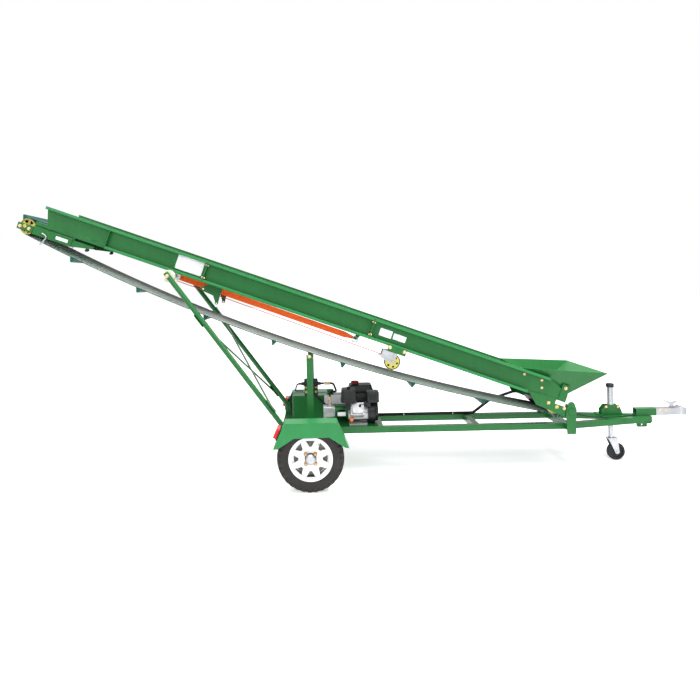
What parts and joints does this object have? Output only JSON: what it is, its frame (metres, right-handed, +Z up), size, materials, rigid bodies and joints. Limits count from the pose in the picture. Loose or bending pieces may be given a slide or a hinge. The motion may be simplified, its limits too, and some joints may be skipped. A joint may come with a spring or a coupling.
{
  "type": "towable firewood conveyor",
  "caption": "Towable firewood conveyor: a trough with a cleated belt rises over a single-axle trailer with engine, hopper, winch, roller legs and swivel jack.",
  "frame": {"origin": "middle of the footprint, on the ground", "axes": "+X forward to the tow coupler, +Y to the left side, +Z up"},
  "size_m": [5.6939, 1.36, 2.2834],
  "materials": {
    "green_paint": "semi-gloss",
    "fender_paint": "semi-gloss",
    "zinc_plate": "zinc plated",
    "yellow_zinc": "yellow zinc plated",
    "red_lens": "clear lens",
    "black_paint": "gloss",
    "engine_alloy": "cast",
    "black_plastic": "satin",
    "black_rubber": "matte",
    "tyre": "matte",
    "white_paint": "gloss",
    "belt_rubber": "matte",
    "red_rope": "braided",
    "orange_webbing": "woven",
    "white_nylon": "smooth"
  },
  "bodies": {
    "trailer": {"main_rails": "green_paint", "frame_cross_tubes": "green_paint", "outriggers": "green_paint", "rest_posts": "green_paint", "tongue_tubes": "green_paint", "draw_tube": "green_paint", "ball_coupler": "zinc_plate", "chain_tab": "green_paint", "axle_beam": "green_paint", "fenders": "fender_paint", "tail_lamps": "red_lens", "lamp_bases": "black_plastic", "muffler": "black_paint", "frame_ears": "green_paint", "oil_tank": "green_paint", "valve_bracket": "green_paint", "control_valve": "black_paint", "engine_base": "green_paint", "engine_block": "engine_alloy", "engine_fan_housing": "black_paint", "fuel_tank": "black_plastic", "air_cleaner": "black_plastic", "bell_housing": "green_paint", "oil_pump": "engine_alloy", "jack_bracket": "green_paint", "jack_outer_tube": "zinc_plate", "hydraulic_hoses": "black_rubber", "motor_hoses": "black_rubber"},
    "wheel_right": {"tyre_right": "tyre", "rim_right": "white_paint", "hub_right": "zinc_plate"},
    "wheel_left": {"tyre_left": "tyre", "rim_left": "white_paint", "hub_left": "zinc_plate"},
    "boom": {"trough_walls_low": "green_paint", "trough_walls_mid": "green_paint", "trough_walls_high": "green_paint", "head_hood": "green_paint", "bed_pan": "green_paint", "takeup_sleeves": "green_paint", "takeup_arms": "green_paint", "pulleys": "yellow_zinc", "conveyor_belt": "belt_rubber", "hopper_sides": "green_paint", "hopper_front": "green_paint", "tail_plates": "green_paint", "belt_motor": "black_paint", "boom_brackets": "green_paint", "winch_frame": "zinc_plate", "winch_gear": "yellow_zinc", "winch_cable": "red_rope", "safety_strap": "orange_webbing"},
    "legs": {"leg_tubes": "green_paint", "leg_braces": "green_paint", "leg_shaft": "zinc_plate"},
    "rollers": {"leg_rollers": "white_nylon"},
    "jack_leg": {"jack_inner_tube": "zinc_plate"},
    "jack_caster": {"jack_fork": "zinc_plate"},
    "jack_tyre": {"jack_wheel": "black_plastic"}
  },
  "joints": [
    {"name": "wheel_right_spin", "type": "hinge", "parent": "trailer", "child": "wheel_right", "pos_m": [-0.443, -0.6, 0.26], "axis": [0, 1, 0], "continuous": true},
    {"name": "wheel_left_spin", "type": "hinge", "parent": "trailer", "child": "wheel_left", "pos_m": [-0.443, 0.6, 0.26], "axis": [0, 1, 0], "continuous": true},
    {"name": "boom_raise", "type": "hinge", "parent": "trailer", "child": "boom", "pos_m": [1.702, 0, 0.5], "axis": [0, 1, 0], "range_deg": [0, 4.5], "deforming": ["motor_hoses", "winch_cable", "safety_strap"]},
    {"name": "leg_swing", "type": "hinge", "parent": "trailer", "child": "legs", "pos_m": [-0.668, 0, 0.45], "axis": [0, 1, 0], "range_deg": [0, 12.49]},
    {"name": "roller_spin", "type": "hinge", "parent": "legs", "child": "rollers", "pos_m": [-1.57645, 0, 1.6874], "axis": [0, 1, 0], "continuous": true},
    {"name": "jack_extend", "type": "slide", "parent": "trailer", "child": "jack_leg", "axis": [0, 0, -1], "range_m": [-0.12, 0.1]},
    {"name": "jack_swivel", "type": "hinge", "parent": "jack_leg", "child": "jack_caster", "pos_m": [2.184, 0, 0.196], "axis": [0, 0, 1], "continuous": true},
    {"name": "jack_wheel_spin", "type": "hinge", "parent": "jack_caster", "child": "jack_tyre", "pos_m": [2.223, 0, 0.076], "axis": [0, 1, 0], "continuous": true}
  ],
  "couplings": [
    {"joint": "leg_swing", "follows": "boom_raise", "ratio": 2.7308}
  ]
}
